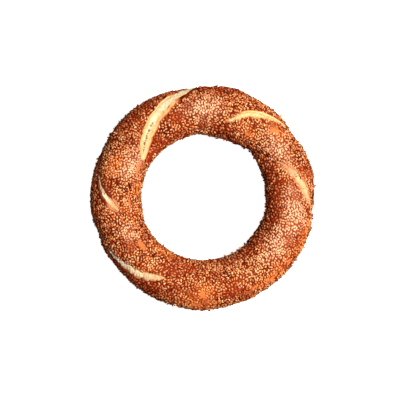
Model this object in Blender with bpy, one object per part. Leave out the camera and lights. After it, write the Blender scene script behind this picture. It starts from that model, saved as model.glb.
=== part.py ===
"""A simit: a ring of bread twisted from two strands of dough, torn open along its seams by the oven.

The ring lies flat on its base, with +Z up and the origin under its middle. Angles round the ring are
counted anticlockwise from +X, and angles round the rope from its outer side, over the top, to the hole.
"""

import bmesh
import bpy
import numpy as np

# Driving dimensions, in metres
RING_RADIUS = 0.0640            # middle of the ring to the middle of the rope
ROPE_HALF_WIDTH = 0.0178        # of the rope where the strands are full
WAIST_HEIGHT = 0.0120           # height of the rope's widest line over the base
CROWN_RISE = 0.0174             # waist up to the crest
KEEL_DROP = 0.0142              # waist down to where the section would close, under the base
VALLEY_REACH = 0.0150           # how far from a seam the strands are still falling towards it
VALLEY_SOFTNESS = 0.0018        # how far the bottom of a valley is rounded
TEAR_DEPTH = 0.0020             # of an open tear below the crust beside it
LIP_HEIGHT = 0.0004             # that the crust curls up along a tear
LIP_PLACE = 0.0012              # of the top of that curl, beyond the bank
LIP_SPREAD = 0.0011
HEEL_HEIGHT = 0.0060            # above the base, over which the relief dies away

# Mesh density
STEPS_ROUND_RING = 172
STEPS_OVER_CRUST = 24
STEPS_ACROSS_BASE = 4

BANK = (0.55, 1.25)             # where the bank of a tear falls, in half widths of the tear

# A line that leans crosses the crest at one angle round the ring and the edges at others: it moves on by
# "lean" degrees for each half width of the rope, and by up to "hook" more as it curves near the edges.
# The mesh's rows lean so that they run along the seams.
ROW_LEAN = {"lean": 22.0, "hook": 9.0}

# Each seam crosses the crest at "crest" degrees round the ring. "valley" is the depth of the dip along it:
# at the outer edge, on the crest and at the hole. An open seam is torn between two angles round the rope.
# "ends" says how pointed its first and last ends are (a small number is blunt), and "half_width" how far
# its outer and its inner bank lie from the seam where it is widest.
SEAMS = {
    "right": {
        "crest": 20.2, "lean": 24.5, "hook": 3.0, "valley": (0.0018, 0.0013, 0.0024),
        "torn": (26.0, 104.0), "ends": (0.60, 0.75), "half_width": (0.0030, 0.0024),
    },
    "upper_right": {
        "crest": 66.1, "lean": 15.6, "hook": 14.8, "valley": (0.0018, 0.0014, 0.0012),
        "torn": (22.0, 114.0), "ends": (0.55, 0.50), "half_width": (0.0015, 0.0027),
    },
    "upper_left": {
        "crest": 126.1, "lean": 27.4, "hook": 2.7, "valley": (0.0012, 0.0013, 0.0006),
        "torn": (-24.0, 139.0), "ends": (0.16, 0.36), "half_width": (0.0036, 0.0040),
    },
    "left": {
        "crest": 186.3, "lean": 15.5, "hook": 15.0, "valley": (0.0010, 0.0014, 0.0005),
        "torn": (34.0, 100.0), "ends": (0.9, 0.6), "half_width": (0.0015, 0.0027),
    },
    "lower_left": {
        "crest": 244.1, "lean": 29.4, "hook": 16.0, "valley": (0.0012, 0.0013, 0.0006),
        "torn": (31.0, 92.0), "ends": (0.65, 0.70), "half_width": (0.0036, 0.0027),
    },
    "closed": {
        "crest": 318.0, "lean": 24.0, "hook": 8.0, "valley": (0.0012, 0.0008, 0.0006),
        "torn": None,
    },
}

# Slow unevenness of dough rolled by hand: waves round the ring, waves round the rope, height, phase
LUMPS = (
    (5, 1, 0.00016, 2.1),
    (9, -1, 0.00014, 4.0),
    (13, 2, 0.00014, 1.3),
)

# Places where the dough swelled more than beside them, or less: degrees round the ring, degrees round
# the rope, height and reach
SWELLINGS = (
    (14.0, 2.0, 0.0009, 0.0100),
    (74.0, 10.0, 0.0015, 0.0120),
    (104.0, 0.0, -0.0013, 0.0100),
    (196.0, 0.0, -0.0008, 0.0160),
    (220.0, 0.0, -0.0015, 0.0130),
    (237.0, 0.0, -0.0008, 0.0090),
    (252.0, 0.0, -0.0010, 0.0090),
    (300.0, 0.0, -0.0006, 0.0120),
    (330.0, 0.0, -0.0004, 0.0080),
    (20.0, 178.0, -0.0012, 0.0090),
    (39.0, 178.0, -0.0018, 0.0100),
    (130.0, 180.0, 0.0006, 0.0160),
    (177.0, 180.0, 0.0012, 0.0130),
    (255.0, 178.0, 0.0005, 0.0080),
    (291.0, 178.0, 0.0007, 0.0050),
    (304.0, 178.0, -0.0008, 0.0090),
    (353.0, 178.0, -0.0011, 0.0080),
    (290.0, 95.0, 0.0004, 0.0150),
)

CRUST_COLOUR = (0.36, 0.13, 0.045, 1.0)
CRUST_ROUGHNESS = 0.42


def smooth_step(low, high, value):
    """0 below low, 1 above high, and an even S between them."""
    share = np.clip((value - low) / (high - low), 0.0, 1.0)
    return share * share * (3.0 - 2.0 * share)


def base_corner():
    """The angle below the waist at which the section meets the base."""
    return np.arcsin(WAIST_HEIGHT / KEEL_DROP)


def section_rise(rope_angle):
    """Half height of the ellipse that the section follows: one above the waist, another below it."""
    return np.where(np.sin(rope_angle) > 0.0, CROWN_RISE, KEEL_DROP)


def in_section(ring_angle, outward, upward):
    """A point or a direction in the plane of a section, in world axes."""
    return np.stack([outward * np.cos(ring_angle), outward * np.sin(ring_angle), upward], axis=-1)


def smooth_rope(ring_angle, rope_angle):
    """Points of the rope without its seams: an ellipse, taller above the waist, carried round the ring."""
    reach = RING_RADIUS + ROPE_HALF_WIDTH * np.cos(rope_angle)
    height = WAIST_HEIGHT + section_rise(rope_angle) * np.sin(rope_angle)
    return in_section(ring_angle, reach, height)


def rope_normals(ring_angle, rope_angle):
    """Unit directions out of the smooth rope, each in the plane of its section."""
    outward = np.cos(rope_angle) / ROPE_HALF_WIDTH
    upward = np.sin(rope_angle) / section_rise(rope_angle)
    size = np.hypot(outward, upward)
    return in_section(ring_angle, outward / size, upward / size)


def lean_angle(across, line):
    """Radians round the ring by which a leaning line has moved on from its crest, for a place across the
    rope that goes from 1 at the outer edge to -1 at the hole."""
    return -np.radians(line["lean"] * across + line["hook"] * across**3)


def seam_coordinates(ring_angle, rope_angle, seam):
    """Distance from a seam, above 0 on its outer bank and below 0 on its inner bank, and the angle round
    the rope of the seam's nearest place.

    The seam and the point are compared in the flat sheet that touches the rope there. Going along the
    seam by one radian round the rope covers "around" metres round the rope and "along" metres round the
    ring. Below the waist the seam goes straight down."""
    above = np.sin(rope_angle) > 0.0
    across = np.where(above, np.cos(rope_angle), np.sign(np.cos(rope_angle)))
    offset = ring_angle - np.radians(seam["crest"]) - lean_angle(across, seam)
    offset = (offset + np.pi) % (2.0 * np.pi) - np.pi
    turn = np.radians(seam["lean"] + 3.0 * seam["hook"] * across**2) * np.sin(rope_angle) * above
    reach = RING_RADIUS + ROPE_HALF_WIDTH * np.cos(rope_angle)
    along = reach * turn
    around = np.hypot(ROPE_HALF_WIDTH * np.sin(rope_angle), section_rise(rope_angle) * np.cos(rope_angle))
    slant = np.hypot(along, around)
    distance = offset * reach * around / slant
    return distance, rope_angle + offset * reach * along / slant**2


def valley_depth(seam, rope_angle):
    """Depth of the dip at a place on the seam, from its three depths across the rope."""
    outer, crest, hole = seam["valley"]
    across = np.cos(rope_angle)
    return crest + np.where(across > 0.0, outer - crest, hole - crest) * across**2


def tear_fullness(seam, rope_angle):
    """0 at a tear's ends and 1 at its belly: the share of the way along, to the power of the first end,
    times the share that is left, to the power of the last end, over the most that this comes to."""
    first, last = np.radians(seam["torn"])
    share = np.clip((rope_angle - first) / (last - first), 0.0, 1.0)
    near, far = seam["ends"]
    belly = near / (near + far)
    return (share / belly) ** near * ((1.0 - share) / (1.0 - belly)) ** far


def seam_relief(ring_angle, rope_angle, seam):
    """How far one seam moves the crust in or out: a valley, and a tear with curled lips where it is open."""
    distance, seam_angle = seam_coordinates(ring_angle, rope_angle, seam)
    softened = np.hypot(distance, VALLEY_SOFTNESS) / VALLEY_REACH
    relief = -valley_depth(seam, seam_angle) * (1.0 - np.clip(softened, 0.0, 1.0)) ** 2
    if seam["torn"]:
        fullness = tear_fullness(seam, seam_angle)
        bank = np.where(distance > 0.0, *seam["half_width"]) * fullness + 1e-5
        beyond = np.abs(distance) - bank
        relief -= TEAR_DEPTH * fullness * (1.0 - smooth_step(*BANK, np.abs(distance) / bank))
        relief += LIP_HEIGHT * fullness * np.exp(-(((beyond - LIP_PLACE) / LIP_SPREAD) ** 2))
    return relief


def lump_relief(ring_angle, rope_angle):
    """The slow unevenness of the dough, as a sum of waves."""
    return sum(
        height * np.cos(ring_waves * ring_angle + rope_waves * rope_angle + phase)
        for ring_waves, rope_waves, height, phase in LUMPS
    )


def swelling_relief(points):
    """The swellings, each a round bump or hollow that fades with the distance from its middle."""
    relief = np.zeros(points.shape[:-1])
    for ring_degrees, rope_degrees, height, reach in SWELLINGS:
        middle = smooth_rope(np.radians(ring_degrees), np.radians(rope_degrees))
        distance = np.linalg.norm(points - middle, axis=-1)
        relief += height * np.exp(-((distance / reach) ** 2))
    return relief


def section_angles():
    """Angles round the rope of one closed section: over the crust, then back across the base."""
    corner = base_corner()
    crust = np.linspace(-corner, np.pi + corner, STEPS_OVER_CRUST)
    base = np.linspace(np.pi + corner, 2.0 * np.pi - corner, STEPS_ACROSS_BASE + 2)[1:-1]
    return np.concatenate([crust, base])


def ring_points():
    """Grid of points over the whole skin, with the middle of their box over the origin. The relief dies
    away towards the base, which is level."""
    ring_angle, rope_angle = np.meshgrid(
        np.linspace(0.0, 2.0 * np.pi, STEPS_ROUND_RING, endpoint=False),
        section_angles(),
        indexing="ij",
    )
    ring_angle = ring_angle + lean_angle(np.cos(rope_angle), ROW_LEAN)
    smooth = smooth_rope(ring_angle, rope_angle)
    relief = sum(seam_relief(ring_angle, rope_angle, seam) for seam in SEAMS.values())
    relief += lump_relief(ring_angle, rope_angle) + swelling_relief(smooth)
    relief *= smooth_step(0.0, HEEL_HEIGHT, smooth[..., 2])
    points = smooth + rope_normals(ring_angle, rope_angle) * relief[..., None]
    points[..., 2] = np.maximum(points[..., 2], 0.0)
    middle = (points.min(axis=(0, 1)) + points.max(axis=(0, 1))) / 2.0
    return points - middle * (1.0, 1.0, 0.0)


def crust_material():
    material = bpy.data.materials.new("baked_crust")
    material.use_nodes = True
    shader = material.node_tree.nodes["Principled BSDF"]
    shader.inputs["Base Color"].default_value = CRUST_COLOUR
    shader.inputs["Roughness"].default_value = CRUST_ROUGHNESS
    shader.inputs["Metallic"].default_value = 0.0
    return material


def bread_ring():
    """One closed skin: quads between neighbouring rows, joined up round the ring and round the rope."""
    points = ring_points()
    rows, columns = points.shape[:2]
    skin = bmesh.new()
    corners = [[skin.verts.new(place) for place in row] for row in points]
    for row in range(rows):
        for column in range(columns):
            after, beside = (row + 1) % rows, (column + 1) % columns
            skin.faces.new(
                (
                    corners[row][column],
                    corners[after][column],
                    corners[after][beside],
                    corners[row][beside],
                )
            )
    mesh = bpy.data.meshes.new("bread_ring")
    skin.to_mesh(mesh)
    skin.free()
    mesh.materials.append(crust_material())
    mesh.shade_smooth()
    ring = bpy.data.objects.new("bread_ring", mesh)
    bpy.context.scene.collection.objects.link(ring)
    return ring


for leftover in list(bpy.data.objects):
    bpy.data.objects.remove(leftover, do_unlink=True)

bread_ring()
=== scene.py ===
# %% [markdown]
# # A simit
#
# A simit is a ring of bread. The baker rolls two strands of dough, twists them together, closes the
# ring, dips it in grape molasses and rolls it in sesame seeds. In a hot oven the dough swells faster
# than its skin, so the skin tears open along the seams between the strands and pale crumb shows.
#
# This file dresses a plain solid of that ring. The solid comes first and is never changed: it says how
# large the ring is and where it lies. Everything that is made here is laid over it, in metres.

# %% Load the plain ring
import itertools

import bpy
import numpy as np
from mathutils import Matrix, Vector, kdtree


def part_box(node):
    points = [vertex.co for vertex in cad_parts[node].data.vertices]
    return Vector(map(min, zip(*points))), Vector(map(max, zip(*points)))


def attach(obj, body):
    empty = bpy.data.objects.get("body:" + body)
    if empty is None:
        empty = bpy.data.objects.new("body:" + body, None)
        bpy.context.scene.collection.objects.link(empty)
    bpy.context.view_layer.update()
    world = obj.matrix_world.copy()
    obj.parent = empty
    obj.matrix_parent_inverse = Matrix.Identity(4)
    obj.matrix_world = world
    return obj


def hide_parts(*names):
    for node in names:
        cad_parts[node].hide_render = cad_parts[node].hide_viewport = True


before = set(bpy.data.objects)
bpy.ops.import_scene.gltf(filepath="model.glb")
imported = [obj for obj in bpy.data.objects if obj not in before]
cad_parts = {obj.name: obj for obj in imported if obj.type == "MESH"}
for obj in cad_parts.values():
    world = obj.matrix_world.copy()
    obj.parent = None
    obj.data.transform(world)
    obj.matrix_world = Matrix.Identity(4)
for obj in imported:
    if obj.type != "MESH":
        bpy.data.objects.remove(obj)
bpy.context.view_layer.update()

ring_low, ring_high = (np.array(corner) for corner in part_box("bread_ring"))
print("plain ring, mm across and high:", np.round((ring_high - ring_low) * 1000.0, 1))

# %% [markdown]
# ## Camera, floor and light
#
# The ring is looked at from straight above, as bread is pictured on a baker's list. A long lens keeps
# the inner wall of the hole from spreading. The light is a soft lamp high at the right, like a window,
# which leaves the left flanks in shade, and a broad weak one overhead, which lays a pale sheen along the
# crest. The sheet under the bread glows a little, like a light table, so that shadows on it stay faint.

# %% Camera
CAMERA_LENS = 0.100             # focal length, in metres
SENSOR_WIDTH = 0.036
VIEW_WIDTH = 0.2937             # of the picture, at the height of the rope's waist
WAIST_HEIGHT = 0.0120
CAMERA_ASIDE = (-0.0018, -0.0015)


def add_camera():
    """A camera that looks straight down, at the height where its picture is as wide as asked."""
    data = bpy.data.cameras.new("camera")
    data.lens = CAMERA_LENS * 1000.0
    data.sensor_width = SENSOR_WIDTH * 1000.0
    camera = bpy.data.objects.new("camera", data)
    camera.location = (*CAMERA_ASIDE, WAIST_HEIGHT + VIEW_WIDTH * CAMERA_LENS / SENSOR_WIDTH)
    bpy.context.scene.collection.objects.link(camera)
    bpy.context.scene.camera = camera
    return camera


camera = add_camera()
print("camera height, m:", round(camera.location.z, 3))

# %% Node helpers


def paint(red, green, blue):
    """A linear colour from the 0 to 255 numbers of a colour picker."""
    share = np.array((red, green, blue)) / 255.0
    linear = np.where(share > 0.04045, ((share + 0.055) / 1.055) ** 2.4, share / 12.92)
    return (*linear, 1.0)


def put(tree, kind, inputs=None, **settings):
    """A new node: settings are its own options, and inputs are values or sockets to link."""
    node = tree.nodes.new(kind)
    for name, value in settings.items():
        setattr(node, name, value)
    for name, value in (inputs or {}).items():
        if isinstance(value, bpy.types.NodeSocket):
            tree.links.new(value, node.inputs[name])
        else:
            node.inputs[name].default_value = value
    return node


def blend(tree, share, first, second, way="MIX"):
    """The colour between two, by a share from 0 to 1. Each may be a colour or a socket."""
    node = put(tree, "ShaderNodeMix", data_type="RGBA", blend_type=way, clamp_factor=True)
    for place, value in ((0, share), (6, first), (7, second)):
        if isinstance(value, bpy.types.NodeSocket):
            tree.links.new(value, node.inputs[place])
        else:
            node.inputs[place].default_value = value
    return node.outputs[2]


def ramp(tree, share, *stops):
    """A colour that runs through the stops, each a place from 0 to 1 and a colour."""
    node = put(tree, "ShaderNodeValToRGB", {"Fac": share})
    elements = node.color_ramp.elements
    while len(elements) < len(stops):
        elements.new(0.5)
    for element, (place, colour) in zip(elements, stops):
        element.position = place
        element.color = colour
    return node.outputs["Color"]


def math(tree, operation, *values):
    """One step of arithmetic on numbers or sockets."""
    node = put(tree, "ShaderNodeMath", operation=operation)
    for place, value in enumerate(values):
        if isinstance(value, bpy.types.NodeSocket):
            tree.links.new(value, node.inputs[place])
        else:
            node.inputs[place].default_value = value
    return node.outputs[0]


def spread(tree, value, low, high):
    """The value stretched so that low becomes 0 and high becomes 1, held between them."""
    node = put(tree, "ShaderNodeMapRange", {"Value": value, "From Min": low, "From Max": high})
    return node.outputs["Result"]


def noise(tree, coordinates, size, detail=4.0, roughness=0.55):
    """Cloudy noise whose patches are about "size" metres across."""
    node = put(
        tree,
        "ShaderNodeTexNoise",
        {"Vector": coordinates, "Scale": 1.0 / size, "Detail": detail, "Roughness": roughness},
    )
    return node.outputs["Fac"]


def attribute(tree, name):
    """A number stored on the mesh's points."""
    return put(tree, "ShaderNodeAttribute", attribute_name=name).outputs["Fac"]


def new_finish(name, **shader_values):
    """A material, its node tree, its shader and the object coordinates that its patterns follow."""
    material = bpy.data.materials.new(name)
    material.use_nodes = True
    tree = material.node_tree
    shader = tree.nodes["Principled BSDF"]
    for socket, value in shader_values.items():
        shader.inputs[socket.replace("_", " ")].default_value = value
    coordinates = put(tree, "ShaderNodeTexCoord").outputs["Object"]
    return material, tree, shader, coordinates


# %% Floor
FLOOR_RADIUS = 1.6              # of the flat part
COVE_RADIUS = 0.9               # of the bend that turns the floor up into a wall
WALL_HEIGHT = 3.0
FLOOR_DROP = 0.0003             # below the bread's base, so that the two never lie in one plane
FLOOR_GLOW = 0.85
FLOOR_SPOKES = 96


def floor_profile():
    """Distance from the middle and height of the sheet: flat, then a quarter circle, then straight up."""
    bend = np.linspace(0.0, np.pi / 2.0, 13)
    outward = np.concatenate([[0.3, 0.9], FLOOR_RADIUS + COVE_RADIUS * np.sin(bend)])
    upward = np.concatenate([[0.0, 0.0], COVE_RADIUS * (1.0 - np.cos(bend))])
    return np.append(outward, outward[-1]), np.append(upward, WALL_HEIGHT) - FLOOR_DROP


def add_floor():
    """A pale sheet under the bread, its profile turned round the upright axis like a shallow bowl. It is
    seen by the camera only, so it neither lights the bread from below nor shows in the bread's gloss."""
    outward, upward = floor_profile()
    turn = np.linspace(0.0, 2.0 * np.pi, FLOOR_SPOKES, endpoint=False)
    rings = [
        np.stack([reach * np.cos(turn), reach * np.sin(turn), np.full(FLOOR_SPOKES, height)], axis=-1)
        for reach, height in zip(outward, upward)
    ]
    index = np.arange(len(rings) * FLOOR_SPOKES).reshape(len(rings), FLOOR_SPOKES)
    beside = np.roll(index, -1, axis=1)
    quads = np.stack([index[:-1], index[1:], beside[1:], beside[:-1]], axis=-1).reshape(-1, 4)
    mesh = bpy.data.meshes.new("floor")
    mesh.from_pydata(np.concatenate(rings).tolist(), [], [index[0].tolist(), *quads.tolist()])
    mesh.shade_smooth()
    material, tree, shader, coordinates = new_finish(
        "pale_paper", Roughness=0.9, Specular_IOR_Level=0.1, Emission_Strength=FLOOR_GLOW
    )
    shader.inputs["Base Color"].default_value = (0.86, 0.86, 0.86, 1.0)
    shader.inputs["Emission Color"].default_value = (1.0, 1.0, 1.0, 1.0)
    mesh.materials.append(material)
    floor = bpy.data.objects.new("floor", mesh)
    bpy.context.scene.collection.objects.link(floor)
    floor.visible_diffuse = False
    floor.visible_glossy = False
    floor.visible_shadow = False
    return floor


floor = add_floor()

# %% Light
LAMPS = {
    # name: (place, side of the square lamp, power in watts, colour)
    "window_right": ((0.62, 0.11, 1.07), 0.20, 27.0, (1.0, 0.97, 0.93)),
    "overhead": ((0.10, -0.05, 1.30), 0.90, 4.0, (1.0, 0.95, 0.90)),
}
SKY_STRENGTH = 0.19
SKY_COLOUR = (1.0, 0.83, 0.74, 1.0)


def add_lamp(name, place, side, power, colour):
    """A square soft lamp that faces the middle of the ring."""
    data = bpy.data.lights.new(name, "AREA")
    data.shape = "SQUARE"
    data.size = side
    data.energy = power
    data.color = colour
    lamp = bpy.data.objects.new(name, data)
    lamp.location = place
    lamp.rotation_mode = "QUATERNION"
    lamp.rotation_quaternion = lamp.location.to_track_quat("Z", "Y")
    bpy.context.scene.collection.objects.link(lamp)


def add_sky():
    """An even pale sky, which fills the shadows."""
    world = bpy.data.worlds.new("pale_sky")
    world.use_nodes = True
    background = world.node_tree.nodes["Background"]
    background.inputs["Color"].default_value = SKY_COLOUR
    background.inputs["Strength"].default_value = SKY_STRENGTH
    world.cycles_visibility.glossy = False
    bpy.context.scene.world = world


for lamp_name, lamp_values in LAMPS.items():
    add_lamp(lamp_name, *lamp_values)
add_sky()
bpy.context.scene.view_settings.view_transform = "Standard"
print("lamps:", list(LAMPS))

# %% [markdown]
# ## The shape of the rope
#
# The plain solid was worked out from a handful of sizes, and the same sizes are used here to work out
# a much finer skin. A point of the skin is named by two angles: one round the ring, and one round the
# rope, from its outer side over the top to the hole. Working with two angles makes every surface a
# plain function of a grid, and it says where a seam, a tear or a seed lies.

# %% Sizes of the rope and its seams
RING_RADIUS = 0.0640            # middle of the ring to the middle of the rope
ROPE_HALF_WIDTH = 0.0178
CROWN_RISE = 0.0174             # waist up to the crest
KEEL_DROP = 0.0142              # waist down to where the section would close, under the base
VALLEY_REACH = 0.0150           # how far from a seam the strands are still falling towards it
VALLEY_SOFTNESS = 0.0012
HEEL_HEIGHT = 0.0060            # above the base, over which the relief dies away
HEEL_ROUNDING = 0.0009

# "crest", "lean" and "hook" say where a seam runs, in degrees round the ring: where it crosses the
# crest, how far it moves on for each half width of the rope, and how much more near the edges. "valley"
# is the depth of its dip at the outer edge, on the crest and at the hole. "torn" gives the two angles
# round the rope between which it is open, "ends" how pointed each end is (a small number is blunt), and
# "crease" the two angles between which it runs on as a fine crease. "core" is where across the crumb its
# palest line runs, from -1 at the inner bank to 1 at the outer. The other pairs are for the outer bank
# and the inner bank: how far each lies from the seam, how ragged it is, how far its lip curls up, how
# wide its tinted skin is, and how wide its edge free of seeds is. "tints" are the kinds of skin, each
# with the stretch that it covers, "swell" is how far the crumb rises in its middle, and "seeded" the
# stretch where seeds lie on the crumb too.
SEAMS = {
    "right": {
        "crest": 20.2, "lean": 24.5, "hook": 3.0, "valley": (0.0018, 0.0013, 0.0024),
        "torn": (26.0, 104.0), "ends": (0.60, 0.75), "crease": (100.0, 152.0), "core": 0.1,
        "half_width": (0.0030, 0.0024), "ragged": (0.30, 0.30), "lip": (0.0001, 0.0001),
        "skin": (0.0018, 0.0018), "clear": (-0.0002, -0.0002), "tints": {"tan": (15.0, 115.0)},
        "swell": 0.0006, "seeded": None,
    },
    "upper_right": {
        "crest": 66.1, "lean": 15.6, "hook": 14.8, "valley": (0.0018, 0.0014, 0.0012),
        "torn": (22.0, 114.0), "ends": (0.55, 0.50), "crease": None, "core": -0.1,
        "half_width": (0.0015, 0.0027), "ragged": (0.16, 0.30), "lip": (0.0004, 0.0001),
        "skin": (0.0016, 0.0009), "clear": (0.0010, 0.0000),
        "tints": {"gilded": (15.0, 86.0), "tan": (80.0, 120.0)},
        "swell": 0.0006, "seeded": (92.0, 125.0),
    },
    "upper_left": {
        "crest": 126.1, "lean": 27.4, "hook": 2.7, "valley": (0.0012, 0.0013, 0.0006),
        "torn": (-24.0, 139.0), "ends": (0.16, 0.36), "crease": None, "core": 0.10,
        "half_width": (0.0036, 0.0040), "ragged": (0.13, 0.12), "lip": (0.0002, 0.0001),
        "skin": (0.0014, 0.0036), "clear": (0.0008, 0.0024), "tints": {"gilded": (46.0, 155.0)},
        "pits": (84.0, 126.0, -0.10), "swell": 0.0003, "seeded": None,
    },
    "left": {
        "crest": 186.3, "lean": 15.5, "hook": 15.0, "valley": (0.0010, 0.0014, 0.0005),
        "torn": (34.0, 100.0), "ends": (0.9, 0.6), "crease": (98.0, 126.0), "core": 0.0,
        "half_width": (0.0015, 0.0027), "ragged": (0.20, 0.26), "lip": (0.0005, 0.0003),
        "skin": (0.0030, 0.0034), "clear": (0.0018, 0.0016),
        "tints": {"plum": (8.0, 68.0), "tan": (78.0, 112.0)}, "swell": 0.0006, "seeded": None,
    },
    "lower_left": {
        "crest": 244.1, "lean": 29.4, "hook": 16.0, "valley": (0.0012, 0.0013, 0.0006),
        "torn": (31.0, 92.0), "ends": (0.65, 0.70), "crease": (89.0, 140.0), "core": 0.2,
        "half_width": (0.0036, 0.0027), "ragged": (0.34, 0.16), "lip": (0.0005, 0.0001),
        "skin": (0.0002, 0.0012), "clear": (0.0006, 0.0004), "tints": {"tan": (60.0, 100.0)},
        "swell": 0.0007, "seeded": None,
    },
    "closed": {
        "crest": 318.0, "lean": 24.0, "hook": 8.0, "valley": (0.0012, 0.0008, 0.0006),
        "torn": None, "crease": None,
    },
}
TORN = {name: seam for name, seam in SEAMS.items() if seam["torn"]}

# Waves round the ring, waves round the rope, height and phase of the dough's slow unevenness
LUMPS = ((5, 1, 0.00016, 2.1), (9, -1, 0.00014, 4.0), (13, 2, 0.00014, 1.3))

# Degrees round the ring, degrees round the rope, height and reach of the larger swellings
SWELLINGS = (
    (14.0, 2.0, 0.0009, 0.0100),
    (74.0, 10.0, 0.0015, 0.0120),
    (104.0, 0.0, -0.0013, 0.0100),
    (196.0, 0.0, -0.0008, 0.0160),
    (237.0, 0.0, -0.0008, 0.0090),
    (220.0, 0.0, -0.0015, 0.0130),
    (252.0, 0.0, -0.0010, 0.0090),
    (300.0, 0.0, -0.0006, 0.0120),
    (330.0, 0.0, -0.0004, 0.0080),
    (20.0, 178.0, -0.0012, 0.0090),
    (39.0, 178.0, -0.0018, 0.0100),
    (130.0, 180.0, 0.0006, 0.0160),
    (177.0, 180.0, 0.0012, 0.0130),
    (255.0, 178.0, 0.0005, 0.0080),
    (291.0, 178.0, 0.0007, 0.0050),
    (304.0, 178.0, -0.0008, 0.0090),
    (353.0, 178.0, -0.0011, 0.0080),
    (290.0, 95.0, 0.0004, 0.0150),
)

# %% Noise on points


def smooth_step(low, high, value):
    """0 below low, 1 above high, and an even S between them."""
    share = np.clip((value - low) / (high - low), 0.0, 1.0)
    return share * share * (3.0 - 2.0 * share)


def lattice_noise(places, cell, seed):
    """Smooth noise from -1 to 1: each corner of a lattice of cells has a scrambled value, and inside a
    cell the values of its corners are blended with an even S along each axis."""
    scaled = np.asarray(places) / cell
    corner = np.floor(scaled).astype(np.int64)
    share = smooth_step(0.0, 1.0, scaled - corner)
    strides = np.array((73856093, 19349663, 83492791))[: scaled.shape[-1]]
    total = np.zeros(scaled.shape[:-1])
    for step in itertools.product((0, 1), repeat=scaled.shape[-1]):
        scrambled = ((corner + step) * strides).sum(axis=-1) + seed * 668265263
        scrambled = ((scrambled ^ (scrambled >> 13)) * 1274126177) & 0x7FFFFFFF
        value = (scrambled ^ (scrambled >> 15)) % 4096 / 2047.5 - 1.0
        total += value * np.where(step, share, 1.0 - share).prod(axis=-1)
    return total


def layered_noise(places, cell, seed, layers=3):
    """Noise with finer and weaker noise added to it, each layer at half the size and half the height."""
    sizes = [0.5**layer for layer in range(layers)]
    return sum(size * lattice_noise(places, cell * size, seed + 7 * n) for n, size in enumerate(sizes))


# %% Points and seams of the rope


def section_rise(rope_angle):
    """Half height of the ellipse that the section follows: one above the waist, another below it."""
    return np.where(np.sin(rope_angle) > 0.0, CROWN_RISE, KEEL_DROP)


def in_section(ring_angle, outward, upward):
    """A point or a direction in the plane of a section, in world axes."""
    return np.stack([outward * np.cos(ring_angle), outward * np.sin(ring_angle), upward], axis=-1)


def smooth_rope(ring_angle, rope_angle):
    """Points of the rope without its seams: an ellipse, taller above the waist, carried round the ring."""
    reach = RING_RADIUS + ROPE_HALF_WIDTH * np.cos(rope_angle)
    return in_section(ring_angle, reach, WAIST_HEIGHT + section_rise(rope_angle) * np.sin(rope_angle))


def rope_normals(ring_angle, rope_angle):
    """Unit directions out of the smooth rope, each in the plane of its section."""
    outward = np.cos(rope_angle) / ROPE_HALF_WIDTH
    upward = np.sin(rope_angle) / section_rise(rope_angle)
    size = np.hypot(outward, upward)
    return in_section(ring_angle, outward / size, upward / size)


def lean_angle(across, line):
    """Radians round the ring by which a leaning line has moved on from its crest, for a place across the
    rope that goes from 1 at the outer edge to -1 at the hole."""
    return -np.radians(line["lean"] * across + line["hook"] * across**3)


def seam_metric(rope_angle, seam):
    """How a seam crosses the flat sheet that touches the rope there: the rope's reach from the middle of
    the ring, and what one radian round the rope covers along the ring and around the rope, in metres."""
    above = np.sin(rope_angle) > 0.0
    across = np.where(above, np.cos(rope_angle), np.sign(np.cos(rope_angle)))
    turn = np.radians(seam["lean"] + 3.0 * seam["hook"] * across**2) * np.sin(rope_angle) * above
    reach = RING_RADIUS + ROPE_HALF_WIDTH * np.cos(rope_angle)
    around = np.hypot(ROPE_HALF_WIDTH * np.sin(rope_angle), section_rise(rope_angle) * np.cos(rope_angle))
    return across, reach, reach * turn, around


def seam_coordinates(ring_angle, rope_angle, seam):
    """Distance from a seam, above 0 on its outer bank and below 0 on its inner bank, and the angle round
    the rope of the seam's nearest place. Below the waist the seam goes straight down."""
    across, reach, along, around = seam_metric(rope_angle, seam)
    offset = ring_angle - np.radians(seam["crest"]) - lean_angle(across, seam)
    offset = (offset + np.pi) % (2.0 * np.pi) - np.pi
    slant = np.hypot(along, around)
    return offset * reach * around / slant, rope_angle + offset * reach * along / slant**2


def beside_seam(seam_angle, distance, seam):
    """The two angles of the place that lies a distance beside the seam: the other way round."""
    across, reach, along, around = seam_metric(seam_angle, seam)
    slant = np.hypot(along, around)
    ring_angle = np.radians(seam["crest"]) + lean_angle(across, seam) + distance * around / (slant * reach)
    return ring_angle, seam_angle - distance * along / (slant * around)


# %% Relief of the dough


def valley_relief(ring_angle, rope_angle, seam):
    """The dip along a seam, like that between two round strands."""
    distance, seam_angle = seam_coordinates(ring_angle, rope_angle, seam)
    outer, crest, hole = seam["valley"]
    across = np.cos(seam_angle)
    depth = crest + np.where(across > 0.0, outer - crest, hole - crest) * across**2
    softened = np.hypot(distance, VALLEY_SOFTNESS) / VALLEY_REACH
    return -depth * (1.0 - np.clip(softened, 0.0, 1.0)) ** 2


def dough_relief(ring_angle, rope_angle):
    """The valleys, the waves and the swellings together, dying away towards the base."""
    smooth = smooth_rope(ring_angle, rope_angle)
    relief = sum(valley_relief(ring_angle, rope_angle, seam) for seam in SEAMS.values())
    for ring_waves, rope_waves, height, phase in LUMPS:
        relief = relief + height * np.cos(ring_waves * ring_angle + rope_waves * rope_angle + phase)
    for ring_degrees, rope_degrees, height, reach in SWELLINGS:
        middle = smooth_rope(np.radians(ring_degrees), np.radians(rope_degrees))
        relief += height * np.exp(-((np.linalg.norm(smooth - middle, axis=-1) / reach) ** 2))
    return relief * smooth_step(0.0, HEEL_HEIGHT, smooth[..., 2])


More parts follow.
